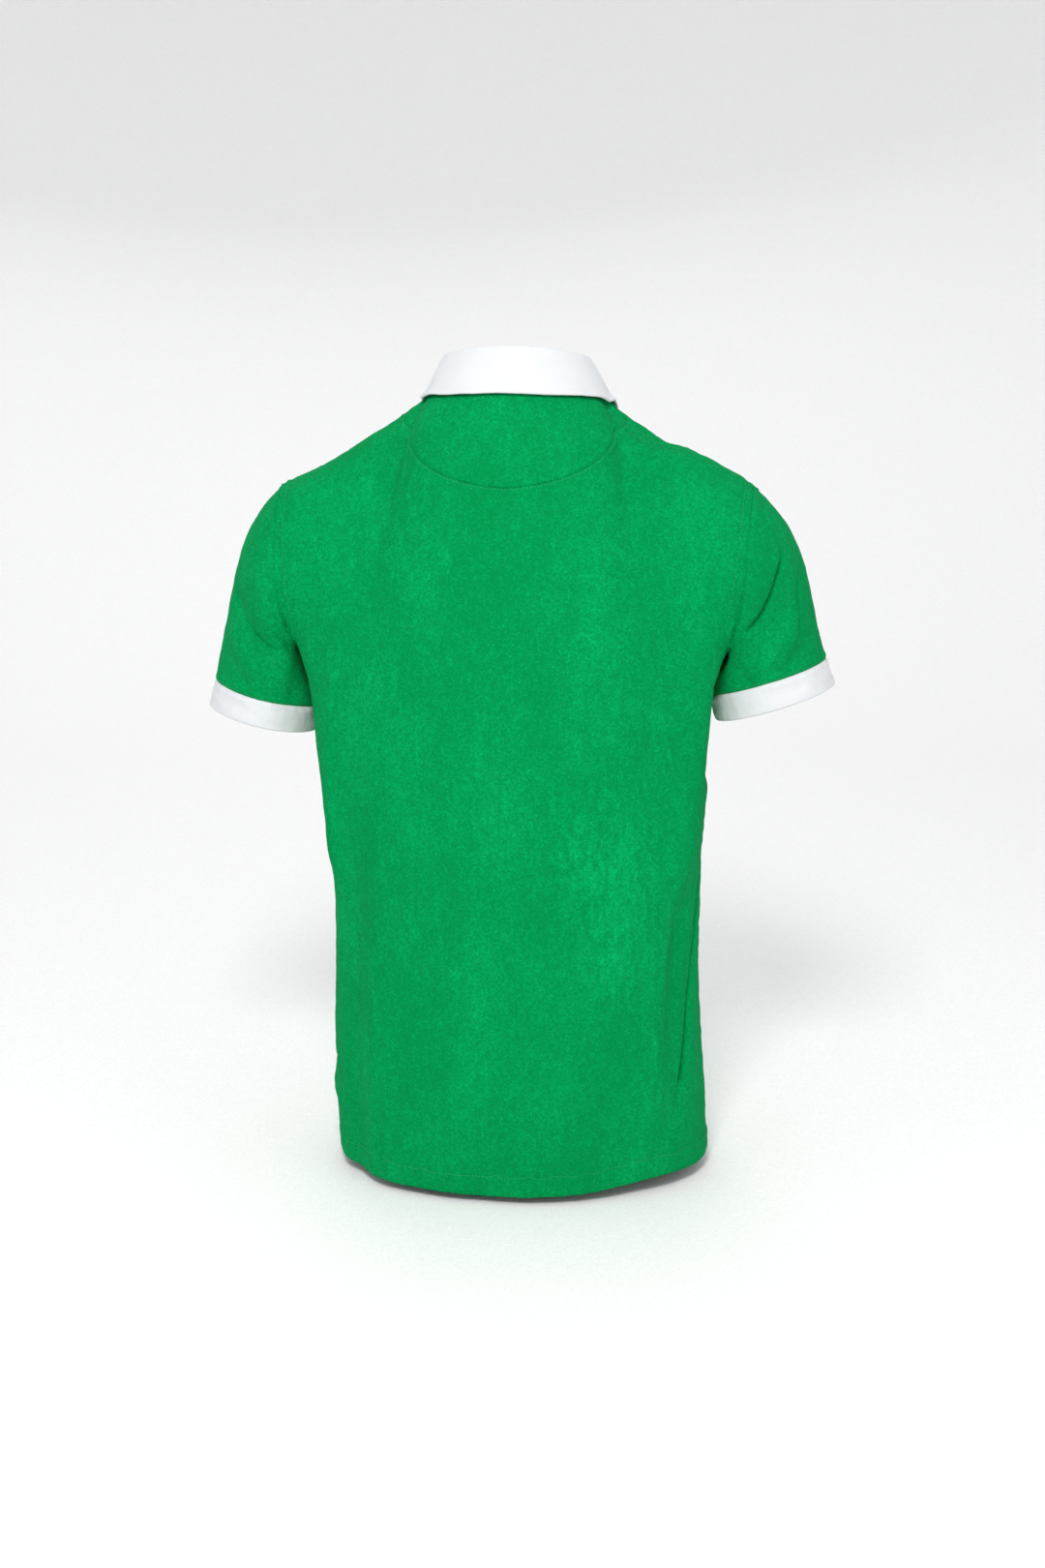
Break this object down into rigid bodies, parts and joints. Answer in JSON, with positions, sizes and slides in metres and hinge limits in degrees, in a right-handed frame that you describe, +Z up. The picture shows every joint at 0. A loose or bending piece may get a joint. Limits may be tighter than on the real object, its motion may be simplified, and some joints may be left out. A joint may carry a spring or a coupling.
{
  "type": "polo shirt",
  "caption": "Short-sleeved polo shirt in green towelling with a half-moon yoke, white ribbed cuffs and a white fold-over collar, filled out as worn.",
  "frame": {"origin": "midway between the two neck points, where the shoulder seams meet the neck seam: the place at which the wearer's shoulders hold the shirt up", "axes": "+Z up, -Y towards the shirt's front, +X towards the wearer's left"},
  "size_m": [0.5741, 0.2644, 0.7465],
  "materials": {
    "terry": "matt looped towelling, bright green",
    "rib": "matt white rib knit",
    "flat_knit": "matt white flat knit",
    "button": "polished white"
  },
  "bodies": {
    "root": {"back": "terry", "back_yoke": "terry", "front": "terry", "placket_under": "terry", "placket_top": "terry", "sleeve_left": "terry", "sleeve_right": "terry", "cuff_left": "rib", "cuff_right": "rib", "collar": "flat_knit", "button_1": "button", "button_2": "button", "button_3": "button"}
  },
  "joints": []
}
